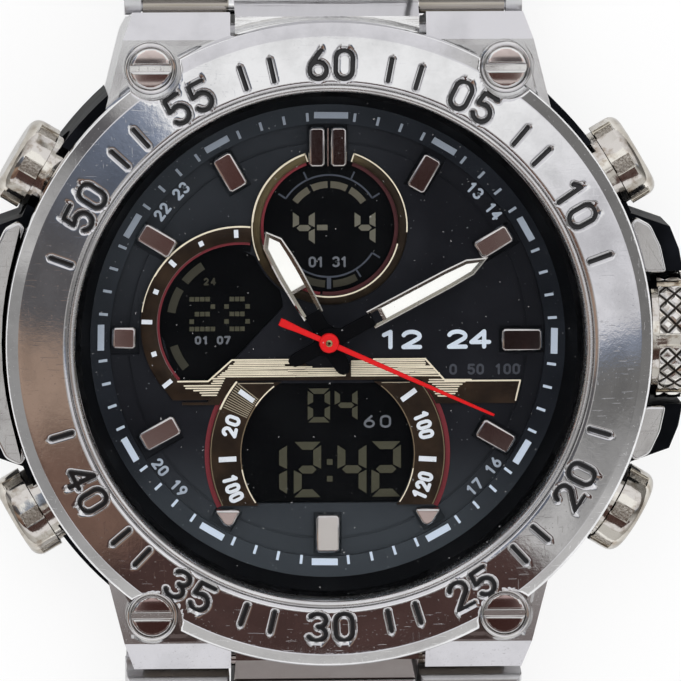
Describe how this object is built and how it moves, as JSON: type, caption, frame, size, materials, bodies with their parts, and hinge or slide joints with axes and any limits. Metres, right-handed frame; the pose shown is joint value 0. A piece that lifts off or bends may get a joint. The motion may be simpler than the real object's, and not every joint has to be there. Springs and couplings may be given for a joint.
{
  "type": "wrist watch",
  "caption": "Sports wrist watch with hands and small displays, screwed bezel, push buttons, crown and a link bracelet with folding clasp.",
  "frame": {"origin": "centre of the case back, on the surface that the watch lies on", "axes": "+Z out of the dial, +Y to 12 o'clock along the bracelet, +X to 3 o'clock and the crown"},
  "size_m": [0.0522, 0.175, 0.0144],
  "materials": {
    "polished_steel": "mirror polished steel",
    "brushed_steel": "finely brushed steel",
    "bracelet_steel": "satin steel with polished edges",
    "nickel_steel": "warm polished nickel",
    "black_resin": "semi-gloss black resin",
    "mineral_glass": "clear polished glass",
    "black_rubber": "matt black seal",
    "dial_lacquer": "matt black lacquer",
    "gold_plate": "gold plated edge",
    "display_glass": "dark display glass",
    "hand_metal": "polished, with a white fill",
    "red_paint": "red lacquer",
    "module_plastic": "moulded module frame",
    "board_laminate": "coated laminate",
    "cell_steel": "plain cell can"
  },
  "bodies": {
    "case": {"battery_cells": "cell_steel", "bezel": "polished_steel", "bezel_screws": "polished_steel", "case_back": "brushed_steel", "case_back_gasket": "black_rubber", "case_back_screws": "brushed_steel", "case_core": "black_resin", "chapter_ring": "dial_lacquer", "circuit_board": "board_laminate", "crown_tube": "brushed_steel", "crystal": "mineral_glass", "crystal_gasket": "black_rubber", "date_frame": "gold_plate", "day_frame": "gold_plate", "dial": "dial_lacquer", "dial_band": "gold_plate", "end_link_12": "polished_steel", "end_link_6": "polished_steel", "end_link_bars": "brushed_steel", "guard_plates": "polished_steel", "hour_markers": "polished_steel", "lcd_panel": "display_glass", "module_housing": "module_plastic", "pusher_collars": "nickel_steel", "quartz_movement": "module_plastic", "retaining_ring": "polished_steel", "time_frame": "gold_plate", "upper_case": "polished_steel"},
    "link_12_1": {"link_12_1": "bracelet_steel", "link_pin_12_1": "brushed_steel"},
    "link_12_2": {"link_12_2": "bracelet_steel", "link_pin_12_2": "brushed_steel"},
    "link_12_3": {"link_12_3": "bracelet_steel", "link_pin_12_3": "brushed_steel"},
    "link_12_4": {"link_12_4": "bracelet_steel", "link_pin_12_4": "brushed_steel"},
    "link_12_5": {"link_12_5": "bracelet_steel", "link_pin_12_5": "brushed_steel"},
    "link_6_1": {"link_6_1": "bracelet_steel", "link_pin_6_1": "brushed_steel"},
    "link_6_2": {"link_6_2": "bracelet_steel", "link_pin_6_2": "brushed_steel"},
    "link_6_3": {"link_6_3": "bracelet_steel", "link_pin_6_3": "brushed_steel"},
    "link_6_4": {"link_6_4": "bracelet_steel", "link_pin_6_4": "brushed_steel"},
    "clasp_cover": {"clasp_cover": "brushed_steel", "clasp_bars": "brushed_steel"},
    "clasp_upper_blade": {"clasp_upper_blade": "polished_steel", "clasp_blade_pin": "brushed_steel"},
    "clasp_lower_blade": {"clasp_lower_blade": "polished_steel"},
    "pusher_2": {"pusher_2": "nickel_steel"},
    "pusher_4": {"pusher_4": "nickel_steel"},
    "pusher_8": {"pusher_8": "nickel_steel"},
    "pusher_10": {"pusher_10": "nickel_steel"},
    "crown_stem": {"crown_stem": "brushed_steel"},
    "crown": {"crown": "nickel_steel"},
    "hour_hand": {"hour_hand": "hand_metal"},
    "minute_hand": {"minute_hand": "hand_metal"},
    "second_hand": {"second_hand": "red_paint"}
  },
  "joints": [
    {"name": "link_12_1_hinge", "type": "hinge", "parent": "case", "child": "link_12_1", "pos_m": [0, 0.02335, 0.0046], "axis": [-1, 0, 0], "range_deg": [-2, 25]},
    {"name": "link_12_2_hinge", "type": "hinge", "parent": "link_12_1", "child": "link_12_2", "pos_m": [0, 0.03329, 0.0023], "axis": [-1, 0, 0], "range_deg": [0, 43]},
    {"name": "link_12_3_hinge", "type": "hinge", "parent": "link_12_2", "child": "link_12_3", "pos_m": [0, 0.04349, 0.0023], "axis": [-1, 0, 0], "range_deg": [0, 30]},
    {"name": "link_12_4_hinge", "type": "hinge", "parent": "link_12_3", "child": "link_12_4", "pos_m": [0, 0.05369, 0.0023], "axis": [-1, 0, 0], "range_deg": [0, 30]},
    {"name": "link_12_5_hinge", "type": "hinge", "parent": "link_12_4", "child": "link_12_5", "pos_m": [0, 0.06389, 0.0023], "axis": [-1, 0, 0], "range_deg": [0, 30]},
    {"name": "link_6_1_hinge", "type": "hinge", "parent": "case", "child": "link_6_1", "pos_m": [0, -0.02335, 0.0046], "axis": [1, 0, 0], "range_deg": [-2, 25]},
    {"name": "link_6_2_hinge", "type": "hinge", "parent": "link_6_1", "child": "link_6_2", "pos_m": [0, -0.03329, 0.0023], "axis": [1, 0, 0], "range_deg": [0, 43]},
    {"name": "link_6_3_hinge", "type": "hinge", "parent": "link_6_2", "child": "link_6_3", "pos_m": [0, -0.04349, 0.0023], "axis": [1, 0, 0], "range_deg": [0, 30]},
    {"name": "link_6_4_hinge", "type": "hinge", "parent": "link_6_3", "child": "link_6_4", "pos_m": [0, -0.05369, 0.0023], "axis": [1, 0, 0], "range_deg": [0, 30]},
    {"name": "clasp_cover_hinge", "type": "hinge", "parent": "link_12_5", "child": "clasp_cover", "pos_m": [0, 0.07409, 0.0023], "axis": [-1, 0, 0], "range_deg": [0, 30]},
    {"name": "clasp_upper_blade_hinge", "type": "hinge", "parent": "clasp_cover", "child": "clasp_upper_blade", "pos_m": [0, 0.10589, 0.00302], "axis": [-1, 0, 0], "range_deg": [-165, 0]},
    {"name": "clasp_lower_blade_hinge", "type": "hinge", "parent": "clasp_upper_blade", "child": "clasp_lower_blade", "pos_m": [0, 0.08049, 0.0023], "axis": [1, 0, 0], "range_deg": [-120, 0]},
    {"name": "pusher_2_press", "type": "slide", "parent": "case", "child": "pusher_2", "axis": [-0.8607, -0.509, 0], "range_m": [0, 0.0008], "stiffness_N_per_m": 1200, "springref_m": -0.0006},
    {"name": "pusher_4_press", "type": "slide", "parent": "case", "child": "pusher_4", "axis": [-0.8607, 0.509, 0], "range_m": [0, 0.0008], "stiffness_N_per_m": 1200, "springref_m": -0.0006},
    {"name": "pusher_8_press", "type": "slide", "parent": "case", "child": "pusher_8", "axis": [0.8607, 0.509, 0], "range_m": [0, 0.0008], "stiffness_N_per_m": 1200, "springref_m": -0.0006},
    {"name": "pusher_10_press", "type": "slide", "parent": "case", "child": "pusher_10", "axis": [0.8607, -0.509, 0], "range_m": [0, 0.0008], "stiffness_N_per_m": 1200, "springref_m": -0.0006},
    {"name": "crown_pull", "type": "slide", "parent": "case", "child": "crown_stem", "axis": [1, 0, 0], "range_m": [0, 0.0012]},
    {"name": "crown_turn", "type": "hinge", "parent": "crown_stem", "child": "crown", "pos_m": [0, 0, 0.0069], "axis": [1, 0, 0], "continuous": true},
    {"name": "hour_hand_turn", "type": "hinge", "parent": "case", "child": "hour_hand", "pos_m": [0, 0, 0.0106], "axis": [0, 0, -1], "continuous": true},
    {"name": "minute_hand_turn", "type": "hinge", "parent": "case", "child": "minute_hand", "pos_m": [0, 0, 0.0106], "axis": [0, 0, -1], "continuous": true},
    {"name": "second_hand_turn", "type": "hinge", "parent": "case", "child": "second_hand", "pos_m": [0, 0, 0.0106], "axis": [0, 0, -1], "continuous": true}
  ],
  "couplings": [
    {"joint": "hour_hand_turn", "follows": "minute_hand_turn", "ratio": 0.083333},
    {"joint": "second_hand_turn", "follows": "minute_hand_turn", "ratio": 60}
  ]
}
